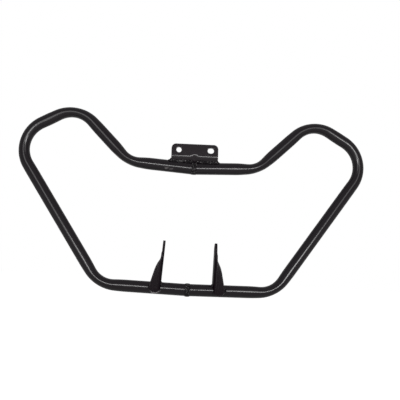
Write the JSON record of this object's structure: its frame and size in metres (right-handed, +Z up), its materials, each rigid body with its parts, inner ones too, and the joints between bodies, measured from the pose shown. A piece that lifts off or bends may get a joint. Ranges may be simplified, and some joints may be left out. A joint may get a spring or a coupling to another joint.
{
  "type": "motorcycle crash guard",
  "caption": "Tubular motorcycle crash guard: a winged steel loop welded at the middle, with a folded, drilled mounting plate above and tapered bolt tabs below.",
  "frame": {"origin": "midway between the top plate's two holes, on its rear face, which lies against the machine's frame", "axes": "+X to the right as the guard is seen from ahead of the machine, +Y to the rear, +Z up"},
  "size_m": [0.7454, 0.0529, 0.3884],
  "materials": {
    "tube_paint": "gloss",
    "bracket_paint": "satin",
    "weld_paint": "semi-gloss"
  },
  "bodies": {
    "root": {"left_tube": "tube_paint", "right_tube": "tube_paint", "top_plate": "bracket_paint", "left_tab": "bracket_paint", "right_tab": "bracket_paint", "upper_butt_weld": "weld_paint", "lower_butt_weld": "weld_paint", "left_plate_front_weld": "weld_paint", "left_plate_rear_weld": "weld_paint", "left_plate_end_weld": "weld_paint", "right_plate_front_weld": "weld_paint", "right_plate_rear_weld": "weld_paint", "right_plate_end_weld": "weld_paint", "left_tab_toe_weld": "weld_paint", "left_tab_inner_weld": "weld_paint", "left_tab_outer_weld": "weld_paint", "left_tab_back_weld": "weld_paint", "right_tab_toe_weld": "weld_paint", "right_tab_inner_weld": "weld_paint", "right_tab_outer_weld": "weld_paint", "right_tab_back_weld": "weld_paint"}
  },
  "joints": []
}
